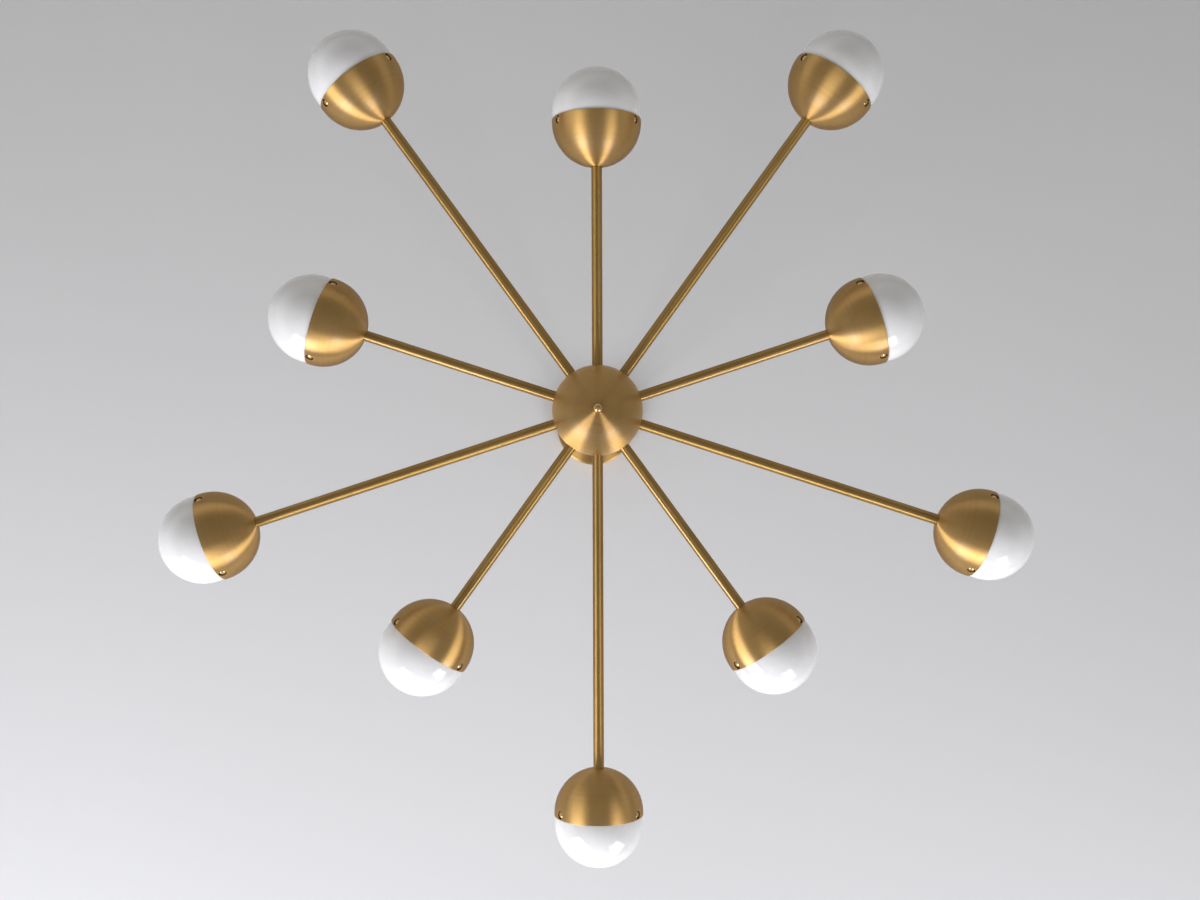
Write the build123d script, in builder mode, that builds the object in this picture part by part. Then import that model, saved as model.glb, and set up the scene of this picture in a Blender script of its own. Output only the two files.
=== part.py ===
from build123d import *
import os
from math import acos, asin, cos, degrees, hypot, pi, radians, sin, sqrt, tan

# Sputnik chandelier: ten level arms of two lengths round a ball hub, each with a spun dome cup and an
# opal glass globe, hung on a rigid stem from a ceiling bracket under a round canopy.
# Millimetres, +Z up. The origin is where the stem's axis meets the ceiling plane.

# ---- Driving dimensions -------------------------------------------------------------------------------

# Layout
arm_count = 10
first_azimuth = 270.0  # degrees from +X to arm_01; odd arms are long, even arms are short
long_rod = 375.0
short_rod = 246.0
stem_length = 583.0

# Tube of the arms and the stem, tapped at its ends for hollow nipples
rod_radius = 6.0
rod_wall = 1.5
thread_wall = 1.0  # tube left outside the tapped thread
tap_depth = 15.0
nipple_length = 20.0
nipple_wall = 1.55
thread_end_gap = 1.5  # between a thread's end and the bottom of its tapped hole
lock_nut_wall = 2.0  # across flats, outside the thread
lock_nut_height = 4.0
thread_gap = 0.05  # radial, between a thread and its hole
rod_gap = 0.2  # radial, where a tube or nipple passes a clearance hole

# Hub
hub_radius = 51.0
shell_wall = 1.0
pole_land = 0.5  # flat at a pole, beyond the edge of what sits on it
core_land = 2.77  # beside each rod's end, on the core's flat
core_ring = 8.5  # wall that the arms' nipples screw into
core_height = 20.0
core_web = 4.0
strap_width = 12.0
strap_thickness = 3.0
strap_end_land = 0.6  # beyond the heads of its screws
strap_screw_radius = 2.0
strap_screw_depth = 4.5
strap_screw_head_radius = 3.6
strap_screw_head_height = 2.2
stud_radius = 3.0
stud_stand_up = 1.0  # above the strap
finial_radius = 5.4
finial_collar_radius = 4.2
finial_collar_height = 1.2
finial_stud_depth = 6.0

# Cup
cup_radius = 50.0
cup_wall = 1.0
cup_skirt = 2.4  # straight wall between the dome and the rim
cup_rim_round = 0.35

# Screw pockets round the cup's rim, and their screws
screw_count = 3
pocket_radius = 4.3
pocket_wall = 0.8
pocket_depth = 3.1
rim_land = 0.5  # between a pocket's wall and the rim
screw_radius = 2.0
screw_boss_wall = 1.2
screw_boss_height = 2.5
screw_head_radius = 3.5
screw_head_height = 2.6

# Glass globe
shade_gap = 0.33  # radial, at the rim
glass_bulge = 9.0  # from the rim to the globe's centre
glass_wall = 3.0
neck_inset = 8.67  # from the globe at the rim to the neck
neck_length = 14.0
neck_round = 1.2
seat_gap = 0.3  # between a moving piece and what it seats on

# Lampholder and bulb
holder_radius = 9.0
holder_base_height = 6.0
holder_height = 22.0
wire_hole_radius = 1.4
pinch_width = 13.8
pinch_thickness = 5.8
pinch_length = 8.6
pin_spacing = 9.0
pin_radius = 0.7
pin_length = 8.0
bulb_gap = 0.3  # all round the bulb's foot in the lampholder
bulb_radius = 6.75
bulb_length = 36.0

# Ceiling bracket
bracket_width = 24.0
bracket_thickness = 2.5
bracket_drop = 10.0  # from the ceiling to the middle plate
bracket_bend = 2.0
bracket_clearance = 6.0  # from its ends to the canopy
slot_length = 14.0
slot_width = 5.2
slot_end_land = 6.0
terminal_poles = 3
terminal_pitch = 8.0
terminal_width = 13.0
terminal_height = 12.0
terminal_bore = 1.9
terminal_screw_radius = 2.4
terminal_gap = 1.5  # from the lock nut

# Canopy and the collar that holds it up
canopy_radius = 59.0
canopy_depth = 30.0
canopy_wall = 1.0
canopy_round = 4.0
canopy_hole_gap = 0.3
collar_wall = 5.0
collar_height = 12.0
collar_gap = 0.08
collar_round = 1.0
collar_screw_radius = 2.0
collar_screw_inset = 0.8

# ---- Worked out from them -----------------------------------------------------------------------------

arm_step = 360.0 / arm_count
thread_radius = rod_radius - thread_wall
rod_bore = rod_radius - rod_wall
nipple_radius = thread_radius - thread_gap
nipple_bore = nipple_radius - nipple_wall
lock_nut_flat = thread_radius + lock_nut_wall
lock_nut_corner = lock_nut_flat / cos(pi / 6)
pole_radius = rod_radius + pole_land

core_flat = (rod_radius + core_land) / tan(pi / arm_count)
chamber_radius = core_flat - core_ring
shell_pole = sqrt(hub_radius**2 - pole_radius**2)
shell_nut_top = sqrt((hub_radius - shell_wall) ** 2 - lock_nut_corner**2)

dome_pole = sqrt(cup_radius**2 - pole_radius**2)
cup_depth = cup_skirt + dome_pole
cup_nut_depth = cup_skirt + sqrt((cup_radius - cup_wall) ** 2 - lock_nut_corner**2)

mouth_radius = cup_radius - cup_wall - shade_gap
glass_radius = hypot(mouth_radius, glass_bulge)
neck_radius = mouth_radius - neck_inset
screw_station = pocket_radius + pocket_wall + rim_land  # back from the rim
floor_radius = cup_radius - pocket_depth

holder_back = cup_nut_depth - lock_nut_height - holder_base_height
holder_front = holder_back - holder_height

bracket_reach = canopy_radius - canopy_wall - bracket_clearance
slot_centre = bracket_reach - slot_end_land - slot_length / 2
bracket_step = slot_centre - slot_length / 2 - slot_end_land
plate_bottom = -bracket_drop - bracket_thickness
stem_top = plate_bottom - lock_nut_height
stem_bottom = stem_top - stem_length
hub_level = stem_bottom - shell_pole

cover_pole_radius = finial_collar_radius + pole_land
cover_pole = sqrt(hub_radius**2 - cover_pole_radius**2)
strap_screw_reach = core_flat - core_ring / 2
strap_reach = strap_screw_reach + strap_screw_head_radius + strap_end_land
strap_bottom = -core_height / 2 - strap_thickness
web_bottom = core_height / 2 - core_web

stem_hole = rod_radius + canopy_hole_gap
collar_radius = rod_radius + collar_wall
collar_middle = -canopy_depth - collar_height / 2

os.makedirs("parts", exist_ok=True)


# ---- Planes and shared shapes -------------------------------------------------------------------------


def level(height):
    """Level plane at a height above the ceiling plane."""
    return Plane.XY.offset(height)


def hub_plane(height=0.0, facing=1):
    """Level plane on the hub's axis, height above its centre, facing up (1) or down (-1)."""
    return Plane(origin=(0, 0, hub_level + height), x_dir=(1, 0, 0), z_dir=(0, 0, facing))


def arm_plane(arm, reach, facing=1):
    """Plane square to an arm, reach from the hub's axis, facing outward (1) or inward (-1); X is down."""
    angle = radians(first_azimuth + arm * arm_step)
    out = Vector(cos(angle), sin(angle), 0)
    return Plane(origin=out * reach + Vector(0, 0, hub_level), x_dir=(0, 0, -1), z_dir=out * facing)


def rim_plane(arm, depth=0.0, facing=1):
    """Plane square to an arm, depth behind the rim of its cup."""
    return arm_plane(arm, rim_reach(arm) - depth, facing)


def arm_planes(reach):
    """Outward planes square to all the arms, reach from the hub's axis."""
    return [arm_plane(arm, reach) for arm in range(arm_count)]


def rim_planes(depth):
    """Outward planes square to all the arms, depth behind the rims of their cups."""
    return [rim_plane(arm, depth) for arm in range(arm_count)]


def section_plane(seat):
    """Plane for a half section: its X is the seat's X and its Y runs along the seat's axis."""
    return Plane(origin=seat.origin, x_dir=seat.x_dir, z_dir=-seat.y_dir)


def axis_of(seat):
    """Axis through the middle of a plane, along its normal."""
    return Axis(seat.origin, seat.z_dir)


def rod_length(arm):
    """Length of an arm's tube."""
    return long_rod if arm % 2 == 0 else short_rod


def rim_reach(arm):
    """Distance from the hub's axis to the rim plane of an arm's cup."""
    return core_flat + rod_length(arm) + cup_depth


def screw_planes(arm, reach):
    """Planes square to an arm's shade screws, reach from the arm's axis."""
    return [screw_plane(arm, turn, reach) for turn in screw_turns()]


def screw_plane(arm, turn, reach):
    """Plane square to a shade screw, reach from the arm's axis, turned about the arm from straight down."""
    rim = rim_plane(arm, screw_station)
    out = rim.x_dir * cos(radians(turn)) + rim.y_dir * sin(radians(turn))
    return Plane(origin=rim.origin + out * reach, x_dir=rim.z_dir, z_dir=out)


def screw_turns():
    """Angles of the shade screws round an arm, even either side of straight down."""
    return [(screw + 0.5) * 360.0 / screw_count for screw in range(screw_count)]


def sleeve(radius, bore, length, *seats):
    """Plain hollow cylinder standing on each plane."""
    with BuildSketch(*seats) as ring:
        Circle(radius)
        Circle(bore, mode=Mode.SUBTRACT)
    extrude(ring.sketch, amount=length)


def drill(radius, depth, *seats):
    """Round hole from each plane along its normal."""
    with BuildSketch(*seats) as hole:
        Circle(radius)
    extrude(hole.sketch, amount=depth, mode=Mode.SUBTRACT)


def spun_dome(seat, radius, wall, flat_radius, hole_radius, skirt=0.0, rim_round=0.0):
    """Spun shell: rim on the seat, a straight skirt, a round dome, and a flat with a hole at the pole."""
    pole = skirt + sqrt(radius**2 - flat_radius**2)
    inner_radius = radius - wall
    rim = [(radius, 0), (inner_radius, 0)] if skirt > 0 else []
    with BuildSketch(section_plane(seat)) as section:
        with BuildLine():
            outside = CenterArc((0, skirt), radius, 0, degrees(acos(flat_radius / radius)))
            inside = CenterArc((0, skirt), inner_radius, 0, degrees(asin((pole - wall - skirt) / inner_radius)))
            Polyline(outside @ 1, (hole_radius, pole), (hole_radius, pole - wall), inside @ 1)
            Polyline(outside @ 0, *rim, inside @ 0)
        make_face()
        if rim_round > 0:
            fillet(section.vertices().sort_by_distance((radius, 0))[0], radius=rim_round)
    revolve(section.sketch, axis=axis_of(seat))


def domed_screw(seat, head_radius, head_height, shank_radius, shank_length):
    """Screw with a domed head on the seat's upper side and its shank below."""
    crown = head_height / 2
    crown_radius = (head_radius**2 + crown**2) / (2 * crown)
    crown_angle = degrees(acos(head_radius / crown_radius))
    with BuildSketch(section_plane(seat)) as section:
        with BuildLine():
            dome = CenterArc((0, head_height - crown_radius), crown_radius, crown_angle, 90 - crown_angle)
            Polyline(
                dome @ 1,
                (0, -shank_length),
                (shank_radius, -shank_length),
                (shank_radius, 0),
                (head_radius, 0),
                dome @ 0,
            )
        make_face()
    revolve(section.sketch, axis=axis_of(seat))


def tapped_tube(seat, length):
    """Arm or stem tube standing on a plane, tapped at both ends."""
    sleeve(rod_radius, rod_bore, length, seat)
    drill(thread_radius, tap_depth, seat)
    drill(thread_radius, -tap_depth, seat.offset(length))


def hex_nuts(*seats):
    """Lock nut for the hollow thread, standing on each plane."""
    with BuildSketch(*seats) as hexagon:
        RegularPolygon(lock_nut_flat, 6, major_radius=False)
        Circle(thread_radius, mode=Mode.SUBTRACT)
    extrude(hexagon.sketch, amount=lock_nut_height)


def save(part, name):
    """Label a finished piece and write it."""
    part.label = name
    export_step(part, f"parts/{name}.step")


# ---- Ceiling bracket and what is on it ----------------------------------------------------------------

with BuildPart() as mounting_bracket:
    with BuildSketch(Plane.XZ.offset(-bracket_width / 2)):
        with BuildLine():
            middle = bracket_thickness / 2
            FilletPolyline(
                (-bracket_reach, -middle),
                (-bracket_step, -middle),
                (-bracket_step, -bracket_drop - middle),
                (bracket_step, -bracket_drop - middle),
                (bracket_step, -middle),
                (bracket_reach, -middle),
                radius=bracket_bend + middle,
            )
        trace(line_width=bracket_thickness)
    extrude(amount=bracket_width)
    with BuildSketch(level(0)):
        with GridLocations(2 * slot_centre, 0, 2, 1):
            SlotOverall(slot_length, slot_width)
    extrude(amount=-bracket_thickness, mode=Mode.SUBTRACT)
    drill(thread_radius, plate_bottom, level(0))
save(mounting_bracket.part, "mounting_bracket")

with BuildPart() as hanger_nipple:
    sleeve(nipple_radius, nipple_bore, -nipple_length, level(plate_bottom + bracket_thickness))
save(hanger_nipple.part, "hanger_nipple")

terminal_edge = lock_nut_corner + terminal_gap
terminal_centre = terminal_edge + terminal_width / 2
with BuildPart() as terminal_block:
    with BuildSketch(level(plate_bottom)):
        with Locations((terminal_centre, 0)):
            Rectangle(terminal_width, terminal_poles * terminal_pitch)
    extrude(amount=-terminal_height)
    with BuildSketch(Plane.YZ.offset(terminal_edge)):
        with Locations((0, plate_bottom - terminal_height / 2)):
            with GridLocations(terminal_pitch, 0, terminal_poles, 1):
                Circle(terminal_bore)
    extrude(amount=terminal_width, mode=Mode.SUBTRACT)
    with BuildSketch(level(plate_bottom - terminal_height)):
        with GridLocations(0, terminal_pitch, 1, terminal_poles):
            with Locations((terminal_centre, 0)):
                Circle(terminal_screw_radius)
    extrude(amount=terminal_height / 2, mode=Mode.SUBTRACT)
save(terminal_block.part, "terminal_block")

# ---- Canopy, collar and stem --------------------------------------------------------------------------

with BuildPart() as canopy:
    with BuildSketch(section_plane(level(-canopy_depth))):
        with BuildLine():
            foot = CenterArc((canopy_radius - canopy_round, canopy_round), canopy_round, 270, 90)
            inner_foot = CenterArc(
                (canopy_radius - canopy_round, canopy_round), canopy_round - canopy_wall, 270, 90
            )
            Polyline(foot @ 0, (stem_hole, 0), (stem_hole, canopy_wall), inner_foot @ 0)
            Polyline(
                foot @ 1,
                (canopy_radius, canopy_depth),
                (canopy_radius - canopy_wall, canopy_depth),
                inner_foot @ 1,
            )
        make_face()
    revolve(axis=Axis.Z)
save(canopy.part, "canopy")

collar_side = Plane(origin=(0, collar_radius, collar_middle), x_dir=(1, 0, 0), z_dir=(0, 1, 0))
with BuildPart() as canopy_collar:
    sleeve(collar_radius, rod_radius + collar_gap, -collar_height, level(-canopy_depth))
    collar_end = canopy_collar.edges().group_by(Axis.Z)[0].sort_by(SortBy.RADIUS)[-1]
    fillet(collar_end, radius=min(collar_round, collar_wall / 3))
    drill(collar_screw_radius + thread_gap, -collar_wall, collar_side)
save(canopy_collar.part, "canopy_collar")

with BuildPart() as collar_screw:
    with BuildSketch(collar_side.offset(-collar_screw_inset)):
        Circle(collar_screw_radius)
    extrude(amount=collar_screw_inset + seat_gap - collar_wall)
save(collar_screw.part, "collar_screw")

with BuildPart() as stem:
    tapped_tube(level(stem_bottom), stem_length)
save(stem.part, "stem")

# ---- Hub ----------------------------------------------------------------------------------------------

with BuildPart() as hub_upper_shell:
    spun_dome(hub_plane(), hub_radius, shell_wall, pole_radius, thread_radius + rod_gap)
    drill(rod_radius + rod_gap, hub_radius, *arm_planes(core_flat))
save(hub_upper_shell.part, "hub_upper_shell")

with BuildPart() as hub_lower_shell:
    spun_dome(hub_plane(facing=-1), hub_radius, shell_wall, cover_pole_radius, stud_radius + rod_gap)
    drill(rod_radius + rod_gap, hub_radius, *arm_planes(core_flat))
save(hub_lower_shell.part, "hub_lower_shell")

# The strap lies between two arms, where the core's ring is solid
strap_angle = radians(first_azimuth - arm_step / 2)
strap_seat = Plane(
    origin=(0, 0, hub_level - core_height / 2),
    x_dir=(cos(strap_angle), sin(strap_angle), 0),
    z_dir=(0, 0, -1),
)

with BuildPart() as hub_core:
    with BuildSketch(hub_plane(-core_height / 2)):
        RegularPolygon(core_flat, arm_count, major_radius=False, rotation=first_azimuth - arm_step / 2)
    extrude(amount=core_height)
    drill(chamber_radius, core_height - core_web, hub_plane(-core_height / 2))
    drill(thread_radius + rod_gap, core_web, hub_plane(web_bottom))
    drill(thread_radius, core_flat, *arm_planes(chamber_radius / 2))
    with BuildSketch(strap_seat):
        with GridLocations(2 * strap_screw_reach, 0, 2, 1):
            Circle(strap_screw_radius + thread_gap)
    extrude(amount=-strap_screw_depth - seat_gap, mode=Mode.SUBTRACT)
save(hub_core.part, "hub_core")

with BuildPart() as hub_strap:
    with BuildSketch(strap_seat):
        Rectangle(2 * strap_reach, strap_width)
        Circle(stud_radius + thread_gap, mode=Mode.SUBTRACT)
        with GridLocations(2 * strap_screw_reach, 0, 2, 1):
            Circle(strap_screw_radius + rod_gap, mode=Mode.SUBTRACT)
    extrude(amount=strap_thickness)
save(hub_strap.part, "hub_strap")

with BuildPart() as strap_screws:
    for side in (-1, 1):
        reach = strap_seat.x_dir * (side * strap_screw_reach)
        head_seat = Plane(
            origin=Vector(0, 0, hub_level + strap_bottom) + reach, x_dir=strap_seat.x_dir, z_dir=(0, 0, -1)
        )
        domed_screw(
            head_seat,
            strap_screw_head_radius,
            strap_screw_head_height,
            strap_screw_radius,
            strap_thickness + strap_screw_depth,
        )
save(strap_screws.part, "strap_screws")

with BuildPart() as hub_pipe:
    pipe_bottom = web_bottom - lock_nut_height - thread_end_gap
    pipe_top = shell_pole + tap_depth - thread_end_gap
    sleeve(nipple_radius, nipple_bore, pipe_top - pipe_bottom, hub_plane(pipe_bottom))
save(hub_pipe.part, "hub_pipe")

stud_top = strap_bottom + strap_thickness + stud_stand_up
stud_bottom = -cover_pole - finial_collar_height - finial_stud_depth
with BuildPart() as finial_stud:
    with BuildSketch(hub_plane(stud_bottom)):
        Circle(stud_radius)
    extrude(amount=stud_top - stud_bottom)
save(finial_stud.part, "finial_stud")

with BuildPart() as finial:
    finial_seat = hub_plane(-cover_pole, facing=-1)
    neck_angle = degrees(acos(finial_collar_radius / finial_radius))
    ball_centre = finial_collar_height + finial_radius * sin(radians(neck_angle))
    with BuildSketch(section_plane(finial_seat)):
        with BuildLine():
            ball = CenterArc((0, ball_centre), finial_radius, -neck_angle, 90 + neck_angle)
            Polyline(ball @ 1, (0, 0), (finial_collar_radius, 0), ball @ 0)
        make_face()
    revolve(axis=axis_of(finial_seat))
    stud_hole_depth = finial_collar_height + finial_stud_depth + seat_gap
    drill(stud_radius + thread_gap, stud_hole_depth, finial_seat)
save(finial.part, "finial")

# ---- Arms ---------------------------------------------------------------------------------------------

with BuildPart() as threaded_nipples:
    sleeve(
        nipple_radius,
        nipple_bore,
        nipple_length,
        *arm_planes(chamber_radius),
        *rim_planes(holder_back + seat_gap + nipple_length),
    )
save(threaded_nipples.part, "threaded_nipples")

with BuildPart() as lock_nuts:
    hex_nuts(
        level(stem_top),
        hub_plane(shell_nut_top - lock_nut_height),
        hub_plane(core_height / 2),
        hub_plane(web_bottom - lock_nut_height),
        *rim_planes(cup_nut_depth),
    )
save(lock_nuts.part, "lock_nuts")

for arm in range(arm_count):
    with BuildPart() as arm_rod:
        tapped_tube(arm_plane(arm, core_flat), rod_length(arm))
    save(arm_rod.part, f"arm_{arm + 1:02}")

# ---- Cups and their screws ----------------------------------------------------------------------------

boss_foot = floor_radius - pocket_wall - screw_boss_height
for arm in range(arm_count):
    rim = rim_plane(arm, facing=-1)
    with BuildPart() as cup:
        # Pressed pockets, first as solid bosses trimmed to the dome's outside
        with BuildSketch(*screw_planes(arm, floor_radius - pocket_wall)):
            Circle(pocket_radius + pocket_wall)
        extrude(amount=cup_radius - floor_radius + pocket_wall)
        with BuildSketch(*screw_planes(arm, boss_foot)):
            Circle(screw_radius + screw_boss_wall)
        extrude(amount=screw_boss_height + pocket_wall)
        with BuildSketch(section_plane(rim)):
            with BuildLine():
                dome = CenterArc((0, cup_skirt), cup_radius, 0, 90)
                Polyline(dome @ 1, (0, 0), (cup_radius, 0), dome @ 0)
            make_face()
        revolve(axis=axis_of(rim), mode=Mode.INTERSECT)
        spun_dome(
            rim, cup_radius, cup_wall, pole_radius, thread_radius + rod_gap, cup_skirt,
            min(cup_rim_round, cup_wall / 2),
        )
        drill(pocket_radius, cup_radius, *screw_planes(arm, floor_radius))
        drill(screw_radius + thread_gap, cup_radius, *screw_planes(arm, neck_radius))
    save(cup.part, f"cup_{arm + 1:02}")

with BuildPart() as shade_screws:
    for arm in range(arm_count):
        for turn in screw_turns():
            domed_screw(
                screw_plane(arm, turn, floor_radius + seat_gap),
                screw_head_radius,
                screw_head_height,
                screw_radius,
                floor_radius - neck_radius,
            )
save(shade_screws.part, "shade_screws")

# ---- Lampholders and bulbs ----------------------------------------------------------------------------

with BuildPart() as holder_bases:
    sleeve(holder_radius, thread_radius, holder_base_height, *rim_planes(holder_back + holder_base_height))
save(holder_bases.part, "holder_bases")

with BuildPart() as lampholders:
    with BuildSketch(*rim_planes(holder_back)):
        Circle(holder_radius)
    extrude(amount=holder_height)
    with BuildSketch(*rim_planes(holder_front)):
        Rectangle(pinch_thickness + 2 * bulb_gap, pinch_width + 2 * bulb_gap)
    extrude(amount=-pinch_length, mode=Mode.SUBTRACT)
    with BuildSketch(*rim_planes(holder_front)):
        with GridLocations(0, pin_spacing, 1, 2):
            Circle(pin_radius + bulb_gap)
    extrude(amount=-pinch_length - pin_length, mode=Mode.SUBTRACT)
    with BuildSketch(*rim_planes(holder_back)):
        with GridLocations(0, pin_spacing, 1, 2):
            Circle(wire_hole_radius)
    extrude(amount=holder_height - pinch_length - pin_length, mode=Mode.SUBTRACT)
save(lampholders.part, "lampholders")

for arm in range(arm_count):
    shoulder = rim_plane(arm, holder_front - seat_gap)
    foot = shoulder.offset(-pinch_length)
    with BuildPart() as bulb:
        with BuildSketch(section_plane(shoulder)):
            with BuildLine():
                tip = CenterArc((0, bulb_length - bulb_radius), bulb_radius, 0, 90)
                Polyline(tip @ 1, (0, 0), (bulb_radius, 0), tip @ 0)
            make_face()
        revolve(axis=axis_of(shoulder))
        with BuildSketch(foot):
            Rectangle(pinch_thickness, pinch_width)
        extrude(amount=pinch_length)
        with BuildSketch(foot):
            with GridLocations(0, pin_spacing, 1, 2):
                Circle(pin_radius)
        extrude(amount=-pin_length)
    save(bulb.part, f"bulb_{arm + 1:02}")

# ---- Glass globes -------------------------------------------------------------------------------------

glass_inside = glass_radius - glass_wall
rim_angle = degrees(asin(glass_bulge / glass_radius))
shoulder_angle = degrees(asin((glass_bulge - glass_wall) / glass_inside))
for arm in range(arm_count):
    rim = rim_plane(arm)
    with BuildPart() as glass_shade:
        with BuildSketch(section_plane(rim)) as section:
            with BuildLine():
                outside = CenterArc((0, glass_bulge), glass_radius, -rim_angle, 90 + rim_angle)
                inside = CenterArc((0, glass_bulge), glass_inside, -shoulder_angle, 90 + shoulder_angle)
                Line(outside @ 1, inside @ 1)
                Polyline(
                    outside @ 0,
                    (neck_radius, 0),
                    (neck_radius, -neck_length),
                    (neck_radius - glass_wall, -neck_length),
                    (neck_radius - glass_wall, glass_wall),
                    inside @ 0,
                )
            make_face()
            fillet(section.vertices().sort_by_distance((neck_radius, 0))[0], radius=neck_round)
        revolve(axis=axis_of(rim))
    save(glass_shade.part, f"glass_{arm + 1:02}")
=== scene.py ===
"""Looks of a ten-light sputnik chandelier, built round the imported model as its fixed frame.

Metres, +Z up, the origin where the stem's axis meets the ceiling. Ten level arms of two lengths leave a ball
hub, and each ends in a spun brass cup that holds an opal glass globe. Every turned or spun piece is a half
section spun about its own axis, then set on a seat: a place and a direction in the model's frame.
"""

from __future__ import annotations

import logging
from abc import ABC, abstractmethod
from collections.abc import Iterable, Sequence
from dataclasses import dataclass, field
from enum import Enum
from math import acos, asin, atan2, cos, degrees, hypot, pi, radians, sin, sqrt, tau

import bmesh
import bpy
from mathutils import Euler, Matrix, Vector

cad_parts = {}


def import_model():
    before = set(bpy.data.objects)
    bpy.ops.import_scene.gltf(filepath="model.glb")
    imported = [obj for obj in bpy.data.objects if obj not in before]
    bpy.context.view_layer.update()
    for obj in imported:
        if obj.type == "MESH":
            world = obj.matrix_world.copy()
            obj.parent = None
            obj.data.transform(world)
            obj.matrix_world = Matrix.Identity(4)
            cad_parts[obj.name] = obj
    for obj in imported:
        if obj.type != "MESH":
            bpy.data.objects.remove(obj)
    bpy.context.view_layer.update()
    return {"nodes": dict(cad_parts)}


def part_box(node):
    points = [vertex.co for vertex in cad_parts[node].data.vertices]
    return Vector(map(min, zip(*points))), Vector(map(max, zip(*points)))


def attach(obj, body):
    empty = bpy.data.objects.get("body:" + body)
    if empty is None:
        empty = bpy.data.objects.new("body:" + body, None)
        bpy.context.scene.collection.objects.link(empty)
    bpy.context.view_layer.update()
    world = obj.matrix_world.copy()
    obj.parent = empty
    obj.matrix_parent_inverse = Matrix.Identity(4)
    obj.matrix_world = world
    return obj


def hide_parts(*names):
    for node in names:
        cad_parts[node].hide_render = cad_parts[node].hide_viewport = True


LOG = logging.getLogger("chandelier")
MM = 0.001
TURN_MAP = "turn"
SMOOTH_ANGLE = radians(32)
ON_AXIS = 1e-6  # a vertex nearer the axis than this has no angle about it
SAME_PLACE = 1e-7
NO_LENGTH = 1e-8
SMALL_STEPS = 3  # steps of a lip or another small round
POCKET_START = 1.0  # a pocket lies this far along the map, so that a finish can tell it apart

COARSE_RINGS = 0.12  # wide rings, to one fine ring
RING_TONE = 0.3  # how far a fine ring's tone leaves the middle
COARSE_TONE = 0.06  # and how far a wide ring's does
MIDDLE_TONE = 0.5
PAD_LIFTS = 38.0  # places to a metre where the brushing pad lifted
LIFTED = 0.35  # what is left of the fine rings there
GRAIN_CHANGES = 14.0  # how often a scratch along a tube changes, to a metre
SMUDGES = 4.2  # smudges to a cloud
SMUDGE_TONE = 0.25  # how much of handling's tone is smudges, the rest being clouds

Point = tuple[float, float]
Colour = tuple[float, float, float]
Socket = bpy.types.NodeSocket


# ---- Node trees ---------------------------------------------------------------------------------------


class Graph:
    """A node tree under construction."""

    def __init__(self, tree: bpy.types.NodeTree) -> None:
        """Wrap a tree.

        Args:
            tree: The tree that nodes are added to.
        """
        self.tree = tree

    def node(
        self, kind: str, inputs: dict[str | int, object] | None = None, **settings: object
    ) -> bpy.types.Node:
        """Add a node.

        Args:
            kind: The node's type, without its "ShaderNode" start.
            inputs: Values or sockets for its inputs, by name or place.
            **settings: Properties of the node itself.

        Returns:
            The new node.
        """
        new = self.tree.nodes.new(kind if kind.startswith("Node") else f"ShaderNode{kind}")
        for name, value in settings.items():
            setattr(new, name, value)
        for key, value in (inputs or {}).items():
            if isinstance(value, bpy.types.NodeSocket):
                self.tree.links.new(value, new.inputs[key])
            else:
                new.inputs[key].default_value = value
        return new

    def maths(self, operation: str, *values: object) -> Socket:
        """Add a maths node and give its result."""
        return self.node("Math", dict(enumerate(values)), operation=operation).outputs[0]

    def noise(self, scale: float, detail: float = 2.0, **inputs: object) -> Socket:
        """Add a noise texture, in one dimension where it is given w and in three where it is given vector.

        Args:
            scale: How many cells it has to a unit.
            detail: How many finer layers it has.
            **inputs: Its coordinate, as w or vector.

        Returns:
            A value that varies about 0.5.
        """
        named = {name.capitalize(): value for name, value in inputs.items()}
        span = "1D" if "W" in named else "3D"
        new = self.node("TexNoise", {"Scale": scale, "Detail": detail, **named}, noise_dimensions=span)
        return new.outputs["Fac"]

    def mix(self, mask: Socket, low: object, high: object) -> Socket:
        """Blend two colours by a mask. The node's colour sockets are its inputs 6 and 7 and its output 2."""
        return self.node("Mix", {0: mask, 6: low, 7: high}, data_type="RGBA").outputs[2]

    def spread(self, value: Socket, low: float, high: float, start: float = 0.3, end: float = 0.7) -> Socket:
        """Map a noise value from its usual span to low..high."""
        ends = {"From Min": start, "From Max": end, "To Min": low, "To Max": high}
        return self.node("MapRange", {"Value": value, **ends}).outputs["Result"]


class Effect(Enum):
    """Surface effects that several finishes share, each one a node group."""

    RINGS = "turning_rings"
    GRAIN = "tube_grain"
    HANDLING = "handling"
    CAST = "cast_skin"


def effect_group(effect: Effect) -> bpy.types.NodeTree:
    """Give the node group of an effect, built on first use.

    Args:
        effect: Which effect.

    Returns:
        A group whose outputs vary over the surface.
    """
    if effect.value in bpy.data.node_groups:
        return bpy.data.node_groups[effect.value]
    tree = bpy.data.node_groups.new(effect.value, "ShaderNodeTree")
    inputs = {
        Effect.RINGS: {"Turn": "Vector", "Place": "Vector", "Rings per metre": "Float"},
        Effect.GRAIN: {"Turn": "Vector", "Strands": "Float"},
        Effect.HANDLING: {"Place": "Vector", "Size": "Float"},
        Effect.CAST: {"Place": "Vector", "Size": "Float"},
    }[effect]
    for name, kind in inputs.items():
        tree.interface.new_socket(name=name, in_out="INPUT", socket_type=f"NodeSocket{kind}")
    for name in ("Tone", "Height"):
        tree.interface.new_socket(name=name, in_out="OUTPUT", socket_type="NodeSocketFloat")
    graph = Graph(tree)
    source = graph.node("NodeGroupInput")
    tone, height = EFFECT_MAKERS[effect](graph, source)
    graph.node("NodeGroupOutput", {"Tone": tone, "Height": height})
    return tree


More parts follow.
